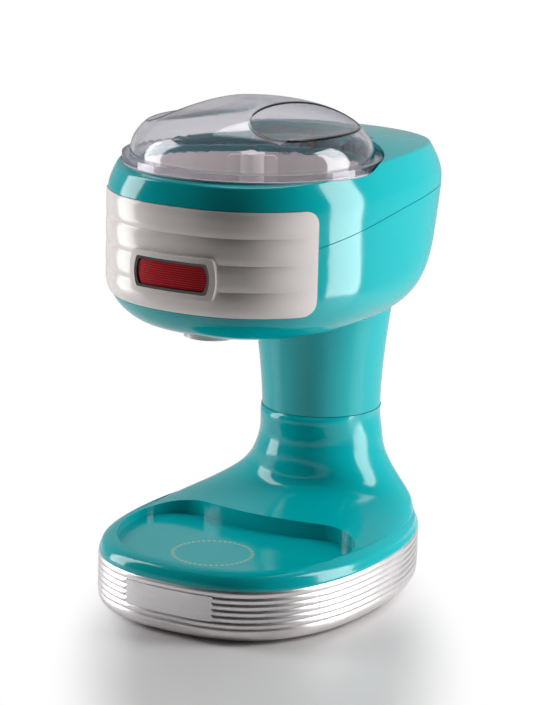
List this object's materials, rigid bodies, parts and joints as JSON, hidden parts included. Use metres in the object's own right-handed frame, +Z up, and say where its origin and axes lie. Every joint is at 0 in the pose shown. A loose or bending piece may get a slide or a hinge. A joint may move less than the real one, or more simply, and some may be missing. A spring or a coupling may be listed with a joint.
{
  "type": "ice crusher",
  "caption": "Retro countertop electric ice crusher: ribbed base with cup tray, rear column, overhanging head with front panel, and a clear twist lid over the ice chamber.",
  "frame": {"origin": "on the table, under the middle of the part's box", "axes": "+X to the right seen from the front, +Y to the rear, +Z up"},
  "size_m": [0.1864, 0.2601, 0.3365],
  "materials": {
    "teal": "high gloss",
    "cream": "gloss",
    "silver": "satin metallised",
    "pan_grey": "fine texture",
    "white": "semi gloss",
    "clear": "clear polished",
    "silicone": "translucent silicone",
    "red_lens": "ribbed translucent",
    "dark_chrome": "dark mirror",
    "steel": "brushed",
    "zinc": "zinc plated",
    "bronze": "sintered",
    "rubber": "matt",
    "black": "matt",
    "button_red": "matt",
    "nylon": "natural nylon",
    "motor_grey": "grey"
  },
  "bodies": {
    "housing": {"base_band": "silver", "base_cover": "teal", "base_pan": "pan_grey", "base_nameplate": "silver", "rubber_feet": "rubber", "base_screws": "zinc", "cord_gland": "black", "neck_sleeve": "teal", "column_tube": "steel", "column_nut": "zinc", "upper_housing": "teal", "lower_housing": "teal", "front_panel": "cream", "badge_bezel": "dark_chrome", "badge_lens": "red_lens", "ice_chamber": "white", "shaving_blade": "steel", "blade_screws": "zinc", "shaft_bush": "bronze", "shaft_seal": "rubber", "safety_switch": "black", "gear_plate": "steel", "motor_plate": "steel", "plate_spacers": "steel", "gear_plate_screws": "zinc", "motor_plate_screws": "zinc", "idler_pin": "steel", "compound_pin": "steel", "motor_can": "motor_grey", "motor_end_cap": "black", "motor_screws": "zinc", "chute": "white"},
    "lid_ring": {"lid_seal": "silicone"},
    "lid": {"lid": "clear"},
    "plunger": {"switch_plunger": "button_red"},
    "rotor": {"rotor": "white", "drive_shaft": "steel", "driven_gear": "nylon"},
    "idler": {"idler_gear": "nylon"},
    "compound": {"compound_gear": "nylon"},
    "motor_rotor": {"motor_shaft": "steel", "motor_pinion": "bronze"}
  },
  "joints": [
    {"name": "lid_lift", "type": "slide", "parent": "housing", "child": "lid_ring", "axis": [0, 0, 1], "range_m": [0, 0.06]},
    {"name": "lid_turn", "type": "hinge", "parent": "lid_ring", "child": "lid", "pos_m": [0, -0.0325, 0.296], "axis": [0, 0, -1], "range_deg": [0, 20]},
    {"name": "plunger_press", "type": "slide", "parent": "housing", "child": "plunger", "axis": [0, 0, -1], "range_m": [0, 0.0023]},
    {"name": "rotor_spin", "type": "hinge", "parent": "housing", "child": "rotor", "pos_m": [0, -0.0325, 0.25], "axis": [0, 0, 1], "continuous": true},
    {"name": "idler_spin", "type": "hinge", "parent": "housing", "child": "idler", "pos_m": [0, 0.017, 0.222], "axis": [0, 0, 1], "continuous": true},
    {"name": "compound_spin", "type": "hinge", "parent": "housing", "child": "compound", "pos_m": [0, 0.0545, 0.222], "axis": [0, 0, 1], "continuous": true},
    {"name": "motor_spin", "type": "hinge", "parent": "housing", "child": "motor_rotor", "pos_m": [0, 0.0825, 0.23], "axis": [0, 0, 1], "continuous": true}
  ],
  "couplings": [
    {"joint": "plunger_press", "follows": "lid_turn", "m_per_rad": 0.0063025},
    {"joint": "idler_spin", "follows": "rotor_spin", "ratio": -0.83333},
    {"joint": "compound_spin", "follows": "rotor_spin", "ratio": 2.1429},
    {"joint": "motor_spin", "follows": "rotor_spin", "ratio": -7.8571}
  ]
}
